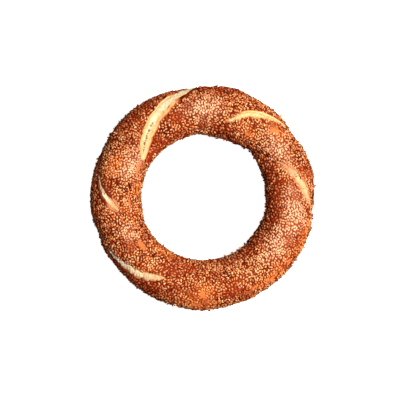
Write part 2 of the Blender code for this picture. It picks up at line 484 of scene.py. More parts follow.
# %% [markdown]
# ## The tears
#
# An open tear is a long lens: pointed at both ends and widest somewhere between. Its two banks are
# ragged, each in its own way. The crust beside it is thin skin that stretched late, so it stayed gold
# where the rest browned. The crust and the crumb both need the banks, so they are worked out once here.

# %% Banks of a tear
RAGGED_CELL = 0.0022            # length of the larger teeth of a ragged bank
CHANNEL_DEPTH = 0.0030          # of the crust's channel, under the crumb that fills it
BANK_STEP = (0.80, 1.06)        # where the bank falls, in half widths
TINTS = ("gilded", "tan", "plum")
SEEDED_CLEARANCE = 0.0015       # how far seeds come in over the crumb where it is seeded


def tear_fullness(seam, seam_angle):
    """0 at a tear's ends and 1 at its belly: the share of the way along, to the power of the first end,
    times the share that is left, to the power of the last end, over the most that this comes to."""
    first, last = np.radians(seam["torn"])
    share = np.clip((seam_angle - first) / (last - first), 0.0, 1.0)
    near, far = seam["ends"]
    belly = near / (near + far)
    return (share / belly) ** near * ((1.0 - share) / (1.0 - belly)) ** far


def bank_distance(seam, seam_angle, side):
    """How far a bank lies from its seam, with its ragged teeth. side is above 0 on the outer bank."""
    fullness = tear_fullness(seam, seam_angle)
    metres_along = (seam_angle * CROWN_RISE * 1.6)[..., None]
    seed = int(seam["crest"])
    outer = seam["ragged"][0] * layered_noise(metres_along, RAGGED_CELL, seed)
    inner = seam["ragged"][1] * layered_noise(metres_along, RAGGED_CELL, seed + 3)
    teeth = np.where(side > 0.0, outer, inner)
    half_width = np.where(side > 0.0, *seam["half_width"])
    return half_width * fullness * (1.0 + teeth) + 1e-5, fullness


def stretch(seam_angle, first, last, fade=6.0):
    """1 between two angles round the rope, in degrees, fading to 0 over a few degrees outside them."""
    degrees = np.degrees((seam_angle + np.pi) % (2.0 * np.pi) - np.pi)
    begun = smooth_step(first - fade, first + fade, degrees)
    return begun * (1.0 - smooth_step(last - fade, last + fade, degrees))


def tear_relief(ring_angle, rope_angle, seam):
    """The crust's own shape at a tear: a channel with steep banks, and a lip curled up along each. With
    it come the tints of the skin and how far the place lies outside the edge that seeds keep clear of."""
    distance, seam_angle = seam_coordinates(ring_angle, rope_angle, seam)
    bank, fullness = bank_distance(seam, seam_angle, distance)
    beyond = np.abs(distance) - bank
    open_share = smooth_step(0.0, 0.30, fullness)
    inside = 1.0 - smooth_step(*BANK_STEP, np.abs(distance) / bank)
    outer = distance > 0.0
    lip = np.where(outer, *seam["lip"]) * np.exp(-(((beyond - 0.0006) / 0.0007) ** 2))
    width = np.where(outer, *seam["skin"]) * (0.35 + 0.65 * fullness)
    tinted = 1.0 - np.clip(beyond / width, 0.0, 1.0)
    tints = {tint: tinted * stretch(seam_angle, *reach) for tint, reach in seam["tints"].items()}
    relief = (lip - CHANNEL_DEPTH * inside) * open_share
    clear = np.where(fullness > 0.02, beyond - np.where(outer, *seam["clear"]) * open_share, 1.0)
    if seam["seeded"]:
        clear = clear + SEEDED_CLEARANCE * stretch(seam_angle, *seam["seeded"])
    return relief, tints, clear


CREASE_WIDTH = 0.00045
CREASE_DEPTH = 0.0007


def crease_share(ring_angle, rope_angle, seam):
    """1 along a seam that runs on past its tear as a fine crease, fading to 0 beside it."""
    distance, seam_angle = seam_coordinates(ring_angle, rope_angle, seam)
    wander = 0.0006 * lattice_noise((seam_angle * CROWN_RISE)[..., None], 0.004, 61)
    line = np.exp(-(((distance - wander) / CREASE_WIDTH) ** 2))
    return line * stretch(seam_angle, *seam["crease"])


# %% [markdown]
# ## The crust
#
# The crust is one closed skin of small quads. Its rows lean so that they run along the seams: a narrow
# tear is then cut across by many rows and keeps steep banks, where a straight grid of the same size
# would give it steps. The skin also carries numbers on its points, such as how gilded it is, and the
# material reads them.

# %% Crust surface
CRUST_ROWS = 760
CRUST_COLUMNS = 130
ROW_LEAN = {"lean": 22.0, "hook": 9.0}
WRINKLE_CELL = 0.0060
WRINKLE_HEIGHT = 0.00022
PORE_CELL = 0.0016
PORE_HEIGHT = 0.00009


# Degrees round the ring, degrees round the rope, depth and radius of burst bubbles
POCKS = (
    (71.4, 71.0, 0.0011, 0.0010),
    (119.0, 60.0, 0.0005, 0.0007),
    (205.5, 84.0, 0.0005, 0.0008),
    (287.0, 118.0, 0.0006, 0.0008),
)


def crust_surface(ring_angle, rope_angle, open_tears=True):
    """The skin's points, the numbers that its finish reads, and how far each point is clear of the tears:
    the smooth rope, moved out or in along its normals by the dough's relief, the tears, creases, burst
    bubbles, broad wrinkles and small pores. The heel is rounded where the base starts, by taking the mean
    of the height and of its distance from 0. Without open tears the skin goes on over the crumb."""
    smooth = smooth_rope(ring_angle, rope_angle)
    relief = dough_relief(ring_angle, rope_angle)
    numbers = {name: np.zeros(relief.shape) for name in (*TINTS, "crease")}
    clear = np.ones(relief.shape)
    for seam in TORN.values():
        tear, tints, clear_of_tear = tear_relief(ring_angle, rope_angle, seam)
        relief += tear * open_tears
        for tint, tinted in tints.items():
            numbers[tint] = np.maximum(numbers[tint], tinted)
        clear = np.minimum(clear, clear_of_tear)
        if seam["crease"]:
            numbers["crease"] = np.maximum(numbers["crease"], crease_share(ring_angle, rope_angle, seam))
    for ring_degrees, rope_degrees, depth, radius in POCKS:
        middle = smooth_rope(np.radians(ring_degrees), np.radians(rope_degrees))
        pock = np.exp(-((np.linalg.norm(smooth - middle, axis=-1) / radius) ** 4))
        relief -= depth * pock
        # a burst bubble is darkened like a crease, with painted shade
        numbers["crease"] = np.maximum(numbers["crease"], pock)
    skin = smooth_step(0.0, HEEL_HEIGHT, smooth[..., 2])
    relief -= skin * CREASE_DEPTH * numbers["crease"]
    relief += skin * WRINKLE_HEIGHT * layered_noise(smooth, WRINKLE_CELL, 11)
    relief += skin * PORE_HEIGHT * lattice_noise(smooth, PORE_CELL, 23)
    points = smooth + rope_normals(ring_angle, rope_angle) * relief[..., None]
    points[..., 2] = (points[..., 2] + np.hypot(points[..., 2], HEEL_ROUNDING)) / 2.0
    return points, numbers, clear


def skin_grid(rows, columns):
    """Angles of a closed grid whose rows lean along the seams."""
    ring_angle, rope_angle = np.meshgrid(
        np.linspace(0.0, 2.0 * np.pi, rows, endpoint=False),
        np.linspace(0.0, 2.0 * np.pi, columns, endpoint=False),
        indexing="ij",
    )
    return ring_angle + lean_angle(np.cos(rope_angle), ROW_LEAN), rope_angle


crust_ring_angle, crust_rope_angle = skin_grid(CRUST_ROWS, CRUST_COLUMNS)
crust_points, crust_numbers, _ = crust_surface(crust_ring_angle, crust_rope_angle)
shift = ((ring_low + ring_high) / 2.0 - (crust_points.min((0, 1)) + crust_points.max((0, 1))) / 2.0)
shift[2] = ring_low[2] - crust_points[..., 2].min()
crust_points += shift
print("crust box, mm:", np.round((crust_points.max((0, 1)) - crust_points.min((0, 1))) * 1000.0, 1))
print("moved to sit on the plain ring, mm:", np.round(shift * 1000.0, 2))

# %% Meshes from arrays


def mesh_piece(name, points, faces, flat_places, numbers):
    """An object from an array of points and a list of face arrays, which may be quads or triangles.
    flat_places holds the faces' corners laid out flat, from 0 to 1, for when colours are baked into a
    picture. numbers holds one value per point for each attribute to store."""
    points = np.asarray(points, dtype=np.float32).reshape(-1, 3)
    mesh = bpy.data.meshes.new(name)
    mesh.vertices.add(len(points))
    mesh.vertices.foreach_set("co", points.ravel())
    sizes = np.concatenate([np.full(len(group), group.shape[1]) for group in faces])
    corners = np.concatenate([group.ravel() for group in faces]).astype(np.int32)
    mesh.loops.add(len(corners))
    mesh.loops.foreach_set("vertex_index", corners)
    mesh.polygons.add(len(sizes))
    mesh.polygons.foreach_set("loop_start", np.concatenate([[0], np.cumsum(sizes)[:-1]]).astype(np.int32))
    mesh.update(calc_edges=True)
    flat = np.concatenate([group.reshape(-1, 2) for group in flat_places]).astype(np.float32)
    mesh.uv_layers.new(name="OFBake").uv.foreach_set("vector", flat.ravel())
    for label, values in numbers.items():
        stored = mesh.attributes.new(label, "FLOAT", "POINT")
        stored.data.foreach_set("value", np.asarray(values, dtype=np.float32).ravel())
    mesh.shade_smooth()
    piece = bpy.data.objects.new(name, mesh)
    bpy.context.scene.collection.objects.link(piece)
    return piece


def closed_grid_faces(rows, columns):
    """Quads of a grid that closes on itself both ways, facing out, and the same corners as places on the
    grid, where the last row and column end at their full count and don't jump back to 0."""
    row, column = np.meshgrid(np.arange(rows), np.arange(columns), indexing="ij")
    steps = ((0, 0), (1, 0), (1, 1), (0, 1))
    quads = [(row + down) % rows * columns + (column + along) % columns for down, along in steps]
    places = [np.stack([row + down, column + along], axis=-1) for down, along in steps]
    return np.stack(quads, axis=-1).reshape(-1, 4), np.stack(places, axis=-2).reshape(-1, 4, 2)


def open_grid_faces(rows, columns):
    """Quads of a grid with four free edges, facing the same way, and their places from 0 to 1."""
    row, column = np.meshgrid(np.arange(rows - 1), np.arange(columns - 1), indexing="ij")
    steps = ((0, 0), (0, 1), (1, 1), (1, 0))
    quads = [(row + down) * columns + column + along for down, along in steps]
    places = [np.stack([row + down, column + along], axis=-1) for down, along in steps]
    places = np.stack(places, axis=-2).reshape(-1, 4, 2) / (rows - 1.0, columns - 1.0)
    return np.stack(quads, axis=-1).reshape(-1, 4), places


def laid_in_strips(places, rows, columns, strips):
    """Places of a long grid cut across into equal strips, which lie above each other."""
    strip_rows = rows // strips
    strip = places[:, :1, :1] // strip_rows
    along = (places[..., :1] - strip * strip_rows) / strip_rows
    across = (strip + 0.01 + 0.98 * places[..., 1:] / columns) / strips
    return np.concatenate([along, across], axis=-1)


# %% [markdown]
# ## Uneven baking, painted shade and painted highlight
#
# No two parts of a baked ring look alike. Some seeds rubbed off and bare skin shows, red where the
# syrup pooled and orange where it ran thin. The flanks turned away from the lamp are darkened nearly to
# burnt: some real toasting, with painted shade over it. In other places syrup covers the seeds as well,
# and along the crest pale patches are a painted highlight, where the lamps' sheen falls. Each such
# place is an oval, given by its middle and its two half lengths, and the ovals of one kind make one map.

# %% Maps of the baking
PLACES = {
    # degrees round the ring, degrees round the rope, half lengths along the ring and around the rope
    "bare": (
        (43.0, 66.0, 0.0030, 0.0030), (54.0, 116.0, 0.0024, 0.0020), (70.5, 108.0, 0.0018, 0.0014),
        (155.0, 137.0, 0.0075, 0.0018), (168.0, 22.0, 0.0036, 0.0018), (218.0, 118.0, 0.0054, 0.0022),
        (270.5, 72.0, 0.0026, 0.0034), (267.0, 42.0, 0.0034, 0.0026), (300.0, 50.0, 0.0022, 0.0016),
        (311.0, 42.0, 0.0050, 0.0014), (323.0, 36.0, 0.0030, 0.0012), (184.0, 128.0, 0.0040, 0.0014),
    ),
    "red": (
        (139.0, 149.0, 0.0080, 0.0036), (127.0, 152.0, 0.0070, 0.0026), (144.0, 158.0, 0.0050, 0.0040),
        (133.0, 157.0, 0.0050, 0.0030), (118.0, 34.0, 0.0060, 0.0022), (123.0, 66.0, 0.0040, 0.0012),
        (177.0, 73.0, 0.0034, 0.0016), (206.0, 60.0, 0.0030, 0.0014), (252.0, 100.0, 0.0050, 0.0012),
        (31.0, 138.0, 0.0030, 0.0016), (14.0, 133.0, 0.0036, 0.0016),
    ),
    # dark flanks turned away from the lamp, outside at the left and in the hole at the right: painted shade over
    # some real toasting
    "toasted_and_shaded": (
        (200.0, 12.0, 0.075, 0.012), (235.0, 8.0, 0.030, 0.014), (150.0, 8.0, 0.040, 0.008),
        (10.0, 172.0, 0.036, 0.013), (75.0, 166.0, 0.024, 0.010), (330.0, 172.0, 0.028, 0.010),
    ),
    "syrupy": (
        (80.0, 26.0, 0.020, 0.010), (112.0, 146.0, 0.016, 0.008), (130.0, 40.0, 0.020, 0.008),
        (178.0, 74.0, 0.012, 0.007), (242.0, 50.0, 0.018, 0.008), (226.0, 34.0, 0.020, 0.008),
        (248.0, 120.0, 0.014, 0.008), (257.0, 138.0, 0.014, 0.008), (288.0, 66.0, 0.012, 0.008),
        (310.0, 142.0, 0.030, 0.007), (352.0, 132.0, 0.026, 0.008), (22.0, 138.0, 0.024, 0.007),
        (70.0, 142.0, 0.016, 0.006), (108.0, 100.0, 0.010, 0.006), (8.0, 118.0, 0.010, 0.006),
    ),
    "amber": (
        (268.0, 46.0, 0.014, 0.012), (272.0, 76.0, 0.011, 0.009), (316.0, 46.0, 0.026, 0.007),
        (340.0, 34.0, 0.014, 0.007), (42.0, 62.0, 0.008, 0.007), (54.0, 114.0, 0.008, 0.005),
        (238.0, 152.0, 0.014, 0.005), (172.0, 152.0, 0.012, 0.005), (160.0, 74.0, 0.010, 0.007),
    ),
    # pale patches along the crest, where the lamps' sheen falls: a painted highlight
    "painted_sheen": (
        (350.0, 78.0, 0.022, 0.010), (328.0, 94.0, 0.018, 0.011), (90.0, 90.0, 0.018, 0.010),
        (154.0, 118.0, 0.016, 0.008), (34.0, 86.0, 0.014, 0.008), (206.0, 106.0, 0.009, 0.006),
        (2.0, 90.0, 0.012, 0.008),
    ),
}
PLACE_EDGES = {"bare": (0.65, 1.15), "red": (0.5, 1.35)}
PLACE_EDGE = (0.1, 1.3)         # of the other kinds, which fade slowly


def place_map(kind, ring_angle, rope_angle):
    """1 in the middle of each oval of a kind, fading to 0 at its edge. Its outline wavers with noise, and
    distances follow the ring's own curve."""
    waver = 0.22 * layered_noise(smooth_rope(ring_angle, rope_angle), 0.004, 31, layers=2)
    share = np.zeros(np.shape(ring_angle))
    for ring_degrees, rope_degrees, along, around in PLACES[kind]:
        turned = (ring_angle - np.radians(ring_degrees) + np.pi) % (2.0 * np.pi) - np.pi
        rolled = (rope_angle - np.radians(rope_degrees) + np.pi) % (2.0 * np.pi) - np.pi
        outline = np.hypot(turned * RING_RADIUS / along, rolled * ROPE_HALF_WIDTH / around) + waver
        share = np.maximum(share, 1.0 - smooth_step(*PLACE_EDGES.get(kind, PLACE_EDGE), outline))
    return share


for place_kind in PLACES:
    crust_numbers[place_kind] = place_map(place_kind, crust_ring_angle, crust_rope_angle)
    print(place_kind, "covers", round(float(crust_numbers[place_kind].mean()) * 100.0, 1), "% of the skin")

# %% Crust piece
BAKE_STRIPS = 2
crust_quads, crust_places = closed_grid_faces(CRUST_ROWS, CRUST_COLUMNS)
crust = mesh_piece(
    "crust",
    crust_points,
    [crust_quads],
    [laid_in_strips(crust_places, CRUST_ROWS, CRUST_COLUMNS, BAKE_STRIPS)],
    crust_numbers,
)
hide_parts("bread_ring")
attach(crust, "root")
print("crust triangles:", len(crust.data.polygons) * 2)

# %% [markdown]
# ## Finish of the crust
#
# Under the seeds the crust is dark: molasses browns early. It runs from deep red brown to orange where
# the syrup is thin. Towards a tear it turns gold and then pale. The skin shines a little, unevenly.

# %% Crust finish
DEEP_BROWN = paint(66, 13, 3)
RED_BROWN = paint(108, 30, 7)
ORANGE_BROWN = paint(148, 56, 18)
# painted shade, with some real toasting, on the flanks turned from the lamp
TOASTED_AND_SHADED_CRUST = paint(66, 16, 4)
SYRUP = paint(124, 34, 12)
# a painted highlight: the lamps' sheen on the crest
PAINTED_SHEEN = paint(190, 102, 62)
AMBER = paint(206, 82, 26)
BARE_ORANGE = paint(214, 120, 64)
BARE_RED = paint(146, 44, 20)
RED_SKIN = paint(150, 52, 24)
GOLD = paint(220, 168, 112)
PALE_GOLD = paint(228, 196, 144)
TAN = paint(204, 134, 90)
PLUM = paint(108, 54, 42)
CREASE_SHADE = paint(62, 22, 10)
SYRUP_TINT = paint(255, 165, 100)       # browned syrup warms what it reflects
SEED_TINT = paint(255, 212, 168)


def finish_crust(piece):
    """Molasses crust: brown patches, then the maps of the baking with their painted shade and painted
    highlight, then the tinted skin at the tears.
    """
    material, tree, shader, coordinates = new_finish(
        "baked_crust", Specular_IOR_Level=0.18, Specular_Tint=SYRUP_TINT
    )
    broad = noise(tree, coordinates, 0.016, 2.0)
    mottled = noise(tree, coordinates, 0.0030, 5.0, 0.6)
    browned = math(tree, "ADD", math(tree, "MULTIPLY", broad, 0.55), math(tree, "MULTIPLY", mottled, 0.45))
    browned = spread(tree, browned, 0.36, 0.64)
    colour = ramp(tree, browned, (0.0, DEEP_BROWN), (0.5, RED_BROWN), (1.0, ORANGE_BROWN))
    # the map of the dark flanks lays painted shade over some real toasting, and the map of the pale crest patches
    # lays a painted highlight
    layers = (
        ("amber", AMBER, 0.40), ("painted_sheen", PAINTED_SHEEN, 0.30), ("syrupy", SYRUP, 0.6), ("toasted_and_shaded", TOASTED_AND_SHADED_CRUST, 0.65)
    )
    for place_kind, place_colour, strength in layers:
        share = math(tree, "MULTIPLY", attribute(tree, place_kind), strength)
        colour = blend(tree, share, colour, place_colour)
    cloud = math(tree, "MULTIPLY", math(tree, "SUBTRACT", mottled, 0.5), 0.5)
    patches = (("bare", BARE_ORANGE), ("red", BARE_RED), ("plum", PLUM), ("tan", TAN))
    for patch, patch_colour in patches:
        share = math(tree, "ADD", attribute(tree, patch), cloud)
        shown = math(tree, "MULTIPLY", spread(tree, share, 0.15, 0.60), 0.85)
        colour = blend(tree, shown, colour, patch_colour)
    gilded = math(tree, "ADD", attribute(tree, "gilded"), cloud)
    gilding = ramp(tree, gilded, (0.18, RED_SKIN), (0.46, BARE_ORANGE), (0.70, GOLD), (0.95, PALE_GOLD))
    colour = blend(tree, spread(tree, gilded, 0.04, 0.24), colour, gilding)
    # painted shade along the creases and in the burst bubbles
    colour = blend(tree, attribute(tree, "crease"), colour, CREASE_SHADE)
    tree.links.new(colour, shader.inputs["Base Color"])
    rough = put(tree, "ShaderNodeMapRange", {"Value": mottled, "To Min": 0.30, "To Max": 0.55})
    tree.links.new(rough.outputs["Result"], shader.inputs["Roughness"])
    grain = math(tree, "ADD", noise(tree, coordinates, 0.0011, 4.0), math(tree, "MULTIPLY", mottled, 1.5))
    bump = put(tree, "ShaderNodeBump", {"Strength": 0.5, "Distance": 0.0004, "Height": grain})
    tree.links.new(bump.outputs["Normal"], shader.inputs["Normal"])
    piece.data.materials.append(material)


finish_crust(crust)

# %% [markdown]
# ## The crumb in the tears
#
# Torn bread is fibrous: gluten threads run from bank to bank, and small holes show where bubbles were.
# Each tear gets its own strip of crumb, much finer than the crust, that tucks under both banks. The
# strip is a grid of two shares: one along the tear and one across it.

# %% Crumb surface
CRUMB_STEPS_ALONG = 300
CRUMB_STEPS_ACROSS = 34
CRUMB_TUCK = 1.18               # how far the strip goes under the banks, in half widths
CRUMB_SINK = 0.0003             # of the crumb's edge below the crust
THREAD_PITCH = 0.00050
THREAD_HEIGHT = 0.00022
CLOT_CELL = 0.0021              # of the uneven lumps that show from further off
CLOT_HEIGHT = 0.00030
HOLE_CELL = 0.0011
HOLE_DEPTH = 0.0008
PIT_PITCH = 0.0023


def pit_row(seam, metres, seam_angle, share):
    """A broken row of pits along a tear: a wave along it, its pitch and its line both wandering, held
    to a narrow band across and to a stretch between two angles."""
    first, last, line = seam["pits"]
    wander = lattice_noise(metres[..., :1], 0.0019, 91)
    wave = np.cos(2.0 * np.pi * metres[..., 0] / PIT_PITCH + 2.8 * wander)
    band = np.exp(-(((share - line - 0.12 * wander) / 0.24) ** 2))
    size = 0.58 + 0.34 * wave + 0.30 * lattice_noise(metres[..., :1], 0.0013, 95)
    return smooth_step(0.12, 0.60, size * band * stretch(seam_angle, first, last))


def crumb_surface(seam):
    """A strip's points, with how far each is from the palest line, how deep a hole it lies in and how
    clotted it is. Its height is the dough's own, less the sink, plus a swell in the middle, ridges that
    run across, uneven lumps and small holes."""
    first, last = np.radians(seam["torn"])
    seam_angle, share = np.meshgrid(
        np.linspace(first + 0.01, last - 0.01, CRUMB_STEPS_ALONG),
        np.linspace(-CRUMB_TUCK, CRUMB_TUCK, CRUMB_STEPS_ACROSS),
        indexing="ij",
    )
    bank, fullness = bank_distance(seam, seam_angle, share)
    ring_angle, rope_angle = beside_seam(seam_angle, share * bank, seam)
    smooth = smooth_rope(ring_angle, rope_angle)
    edge = np.abs(share)
    core = seam["core"]
    from_core = np.abs(share - core) / np.where(share > core, 1.0 - core, 1.0 + core)
    metres = np.stack([seam_angle * CROWN_RISE * 1.6, share * bank, 0.0 * share], axis=-1)
    seed = int(seam["crest"]) + 40
    threads = lattice_noise(metres * (1.0, 0.22, 1.0), THREAD_PITCH, seed)
    threads += 0.8 * lattice_noise(smooth, THREAD_PITCH * 1.6, seed + 1)
    clots = layered_noise(metres * (1.0, 0.6, 1.0), CLOT_CELL, seed + 5, layers=2)
    hole = smooth_step(0.45, 0.9, lattice_noise(smooth, HOLE_CELL, seed + 2)) * (edge < 0.85)
    if "pits" in seam:
        hole = np.maximum(0.6 * hole, pit_row(seam, metres, seam_angle, share))
    body = smooth_step(0.0, 0.5, fullness)
    relief = dough_relief(ring_angle, rope_angle) - CRUMB_SINK * (0.35 + 0.65 * body)
    relief += seam["swell"] * body * (1.0 - edge**2) - 0.0020 * smooth_step(0.96, CRUMB_TUCK, edge)
    relief += (THREAD_HEIGHT * threads + CLOT_HEIGHT * clots) * (0.4 + 0.6 * body)
    relief -= HOLE_DEPTH * hole * body
    points = smooth + rope_normals(ring_angle, rope_angle) * relief[..., None] + shift
    begun = (seam_angle - first) / (last - first)
    ends = {"outer_end": 1.0 - smooth_step(0.08, 0.50, begun), "inner_end": smooth_step(0.52, 0.86, begun)}
    return points, {"edge": from_core, "hole": hole * body, "clots": clots, **ends}


# %% Crumb finish
HOLE_SHADE = paint(120, 92, 60)
CLOT_SHADE = paint(196, 150, 98)
END_STRENGTH = 0.9
CRUMB_COLOURS = {
    # tear: (its palest line, halfway to a bank, at the bank, towards its outer end, towards the hole)
    "right": (
        paint(206, 172, 130), paint(202, 152, 106), paint(196, 126, 86), paint(204, 158, 112), paint(190, 122, 86)
    ),
    "upper_right": (
        paint(212, 190, 136), paint(212, 174, 114), paint(206, 140, 84), paint(212, 148, 94), paint(216, 178, 126)
    ),
    # the near-white colour towards this tear's outer end is painted light, for crumb on a flank turned from the
    # lamp
    "upper_left": (
        paint(226, 210, 174), paint(222, 190, 140), paint(214, 158, 102), paint(255, 250, 206), paint(220, 184, 132)
    ),
    "left": (
        paint(242, 220, 180), paint(226, 190, 146), paint(190, 134, 98), paint(190, 134, 98), paint(200, 148, 102)
    ),
    # the near-white colour towards this tear's outer end is painted light, for crumb on a flank turned from the
    # lamp
    "lower_left": (
        paint(232, 206, 166), paint(224, 190, 146), paint(196, 146, 104), paint(255, 250, 232), paint(202, 160, 116)
    ),
}


def crumb_finish(name, palest, halfway, at_bank, outer_end, inner_end):
    """Crumb that goes from its palest line to the colour of its banks, and along the tear to the colours
    of its two ends, with tan painted shade in the hollows between its lumps, and shaded holes."""
    material, tree, shader, coordinates = new_finish(
        name, Roughness=0.85, Specular_IOR_Level=0.15, Subsurface_Weight=0.15, Subsurface_Scale=0.001
    )
    mottled = noise(tree, coordinates, 0.0016, 4.0)
    edge = math(tree, "ADD", attribute(tree, "edge"), math(tree, "MULTIPLY", mottled, 0.5))
    edge = math(tree, "SUBTRACT", edge, 0.25)
    colour = ramp(tree, edge, (0.30, palest), (0.65, halfway), (0.98, at_bank))
    # towards the outer end of the upper left and lower left tears the crumb is painted near white: painted light on
    # a flank turned from the lamp
    for end, end_colour in (("outer_end", outer_end), ("inner_end", inner_end)):
        share = math(tree, "MULTIPLY", attribute(tree, end), END_STRENGTH)
        colour = blend(tree, share, colour, end_colour)
    # painted shade in the low parts of the lumps
    clotted = math(tree, "MULTIPLY", spread(tree, attribute(tree, "clots"), 0.0, -0.9), 0.45)
    colour = blend(tree, clotted, colour, CLOT_SHADE)
    colour = blend(tree, attribute(tree, "hole"), colour, HOLE_SHADE)
    tree.links.new(colour, shader.inputs["Base Color"])
    bump = put(
        tree,
        "ShaderNodeBump",
        {"Strength": 0.4, "Distance": 0.0002, "Height": noise(tree, coordinates, 0.0004, 3.0)},
    )
    tree.links.new(bump.outputs["Normal"], shader.inputs["Normal"])
    return material


# %% Crumb pieces
crumb_quads, crumb_places = open_grid_faces(CRUMB_STEPS_ALONG, CRUMB_STEPS_ACROSS)
for tear_name, torn_seam in TORN.items():
    strip_points, strip_numbers = crumb_surface(torn_seam)
    crumb = mesh_piece("crumb_" + tear_name, strip_points, [crumb_quads], [crumb_places], strip_numbers)
    crumb.data.materials.append(crumb_finish(tear_name + "_crumb", *CRUMB_COLOURS[tear_name]))
    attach(crumb, "root")
    print(crumb.name, "triangles:", len(crumb.data.polygons) * 2)

# %% [markdown]
# ## Sesame
#
# Several thousand seeds cover the ring. One seed is modelled with a few dozen faces, and whole arrays
# turn, size and place its copies, so that all the seeds of one kind are one mesh. The seeds lie on the
# skin at random but keep a least distance from each other: a dart is thrown, and it stays only if no
# earlier dart lies too near. Seeds from one roasting still differ, so there are four kinds.

# %% Where the seeds lie
SEED_GAP = 0.00155              # least distance between the middles of two seeds
DARTS = 230000
SEED_EDGE = 0.0007              # half a seed's width, with which it stays off a bank
random = np.random.default_rng(20240611)


def tree_of(points):
    """The points sorted so that the neighbours of any place are found quickly."""
    tree = kdtree.KDTree(len(points))
    for number, point in enumerate(points):
        tree.insert(point, number)
    tree.balance()
    return tree


def throw_darts():
    """Angles of the seeds. Darts near a tear or in a bare place are dropped first; of the rest, each in
    turn knocks out all later ones within the gap. The gap is wider where syrup covers the seeds."""
    ring_angle = random.uniform(0.0, 2.0 * np.pi, DARTS)
    rope_angle = random.uniform(0.0, 2.0 * np.pi, DARTS)
    points, numbers, clear = crust_surface(ring_angle, rope_angle, open_tears=False)
    bare = np.maximum(place_map("bare", ring_angle, rope_angle), place_map("red", ring_angle, rope_angle))
    kept = (clear > SEED_EDGE * random.uniform(0.3, 1.3, DARTS)) & (bare < random.uniform(0.15, 0.95, DARTS))
    kept &= numbers["crease"] < 0.3
    ring_angle, rope_angle, points = ring_angle[kept], rope_angle[kept], points[kept]
    gap = SEED_GAP * (1.0 + 0.10 * lattice_noise(points, 0.012, 5))
    gap *= 1.0 + 0.16 * place_map("syrupy", ring_angle, rope_angle)
    tree = tree_of(points)
    alive = np.ones(len(points), dtype=bool)
    for number, point in enumerate(points):
        if alive[number]:
            near = [found[1] for found in tree.find_range(point, gap[number])]
            alive[near] = False
            alive[number] = True
    return ring_angle[alive], rope_angle[alive]


seed_ring_angle, seed_rope_angle = throw_darts()
SEED_COUNT = len(seed_ring_angle)
print("seeds:", SEED_COUNT)

# %% Shape of one seed
SEED_SIDES = 8
SEED_STATIONS = 4
SEED_HALF_WIDTH = 0.305         # both as a share of the seed's length
SEED_HALF_HEIGHT = 0.180


def seed_shape():
    """A flat drop of unit length: stations along a half wave, each an oval that is widest a little before
    the middle and narrows to a point in front."""
    station = np.pi * (np.arange(SEED_STATIONS) + 0.75) / (SEED_STATIONS + 0.5)
    turn = 2.0 * np.pi * np.arange(SEED_SIDES) / SEED_SIDES
    fat = (np.sin(station) ** 0.85 * (1.0 + 0.22 * np.cos(station)))[:, None]
    along = np.repeat(-np.cos(station)[:, None] / 2.0, SEED_SIDES, axis=1)
    rings = [along, SEED_HALF_WIDTH * fat * np.cos(turn), SEED_HALF_HEIGHT * fat * np.sin(turn)]
    rings = np.stack(rings, axis=-1).reshape(-1, 3)
    return np.concatenate([rings, [(-0.5, 0.0, 0.0), (0.5, 0.0, 0.0)]])


def seed_faces():
    """Quads between the stations and triangles at both tips, with each corner's flat place: how far along
    the seed and how far round it."""
    station, side = np.meshgrid(np.arange(SEED_STATIONS - 1), np.arange(SEED_SIDES), indexing="ij")
    steps = ((0, 0), (0, 1), (1, 1), (1, 0))
    quads = [(station + down) * SEED_SIDES + (side + round_it) % SEED_SIDES for down, round_it in steps]
    flat = [np.stack([station + down + 1.0, side + round_it + 0.0], axis=-1) for down, round_it in steps]
    sides = np.arange(SEED_SIDES)
    beside = (sides + 1) % SEED_SIDES
    last = (SEED_STATIONS - 1) * SEED_SIDES
    back = np.full(SEED_SIDES, SEED_STATIONS * SEED_SIDES)
    triangles = [np.stack([beside, sides, back], -1), np.stack([sides + last, beside + last, back + 1], -1)]
    ends = []
    for place, tip, (first, second) in ((1.0, 0.0, (1, 0)), (SEED_STATIONS, SEED_STATIONS + 1.0, (0, 1))):
        corners = ((place, sides + first), (place, sides + second), (tip, sides + 0.5))
        ends.append(np.stack([np.stack([0.0 * sides + u, v], axis=-1) for u, v in corners], axis=-2))
    flat_size = (SEED_STATIONS + 1.0, SEED_SIDES)
    return (
        np.stack(quads, axis=-1).reshape(-1, 4),
        np.concatenate(triangles),
        np.stack(flat, axis=-2).reshape(-1, 4, 2) / flat_size,
        np.concatenate(ends) / flat_size,
    )


seed_points = seed_shape()
seed_quads, seed_triangles, seed_quads_flat, seed_triangles_flat = seed_faces()
print("faces of one seed:", len(seed_quads) + len(seed_triangles))

# %% [markdown]
# ## How the seeds lie
#
# Rolled dough presses its seeds side by side, so that two close seeds seldom lie end on. For each seed
# the directions to its near neighbours are gathered in the plane of the skin, and the seed turns across
# the direction in which they crowd it most, give or take a little.

# %% Lay the seeds
SEED_LENGTH = (0.00248, 0.00018)    # mean and spread
SEED_TILT = (0.24, 0.85)            # radians, spread of the lean out of the skin: most seeds, proud ones
SEED_LIFT = (0.00018, 0.00016)      # mean and spread of a seed's middle over the skin
PROUD_SHARE = 0.10                  # of the seeds, which stick out of the skin
PROUD_LIFT = 0.00050
NEIGHBOURS = 7
CROWDING_REACH = 0.0036
TURN_SPREAD = 0.45                  # radians, spread of a seed's turn round its own upright axis


def plane_turn(points, along, across):
    """The angle in the skin's plane that lies across the crowding. Each neighbour counts by a weight that
    falls to 0 at the reach, and its angle counts doubled, so that opposite directions add up."""
    tree = tree_of(points)
    near = np.array([[found[1] for found in tree.find_n(point, NEIGHBOURS)] for point in points])
    offset = points[near] - points[:, None, :]
    angle = np.arctan2((offset * across[:, None, :]).sum(-1), (offset * along[:, None, :]).sum(-1))
    weight = np.clip(1.0 - np.linalg.norm(offset, axis=-1) / CROWDING_REACH, 0.0, 1.0) ** 2
    weight[:, 0] = 0.0                  # the seed itself
    crowded = np.arctan2((weight * np.sin(2.0 * angle)).sum(-1), (weight * np.cos(2.0 * angle)).sum(-1))
    return crowded / 2.0 + np.pi / 2.0


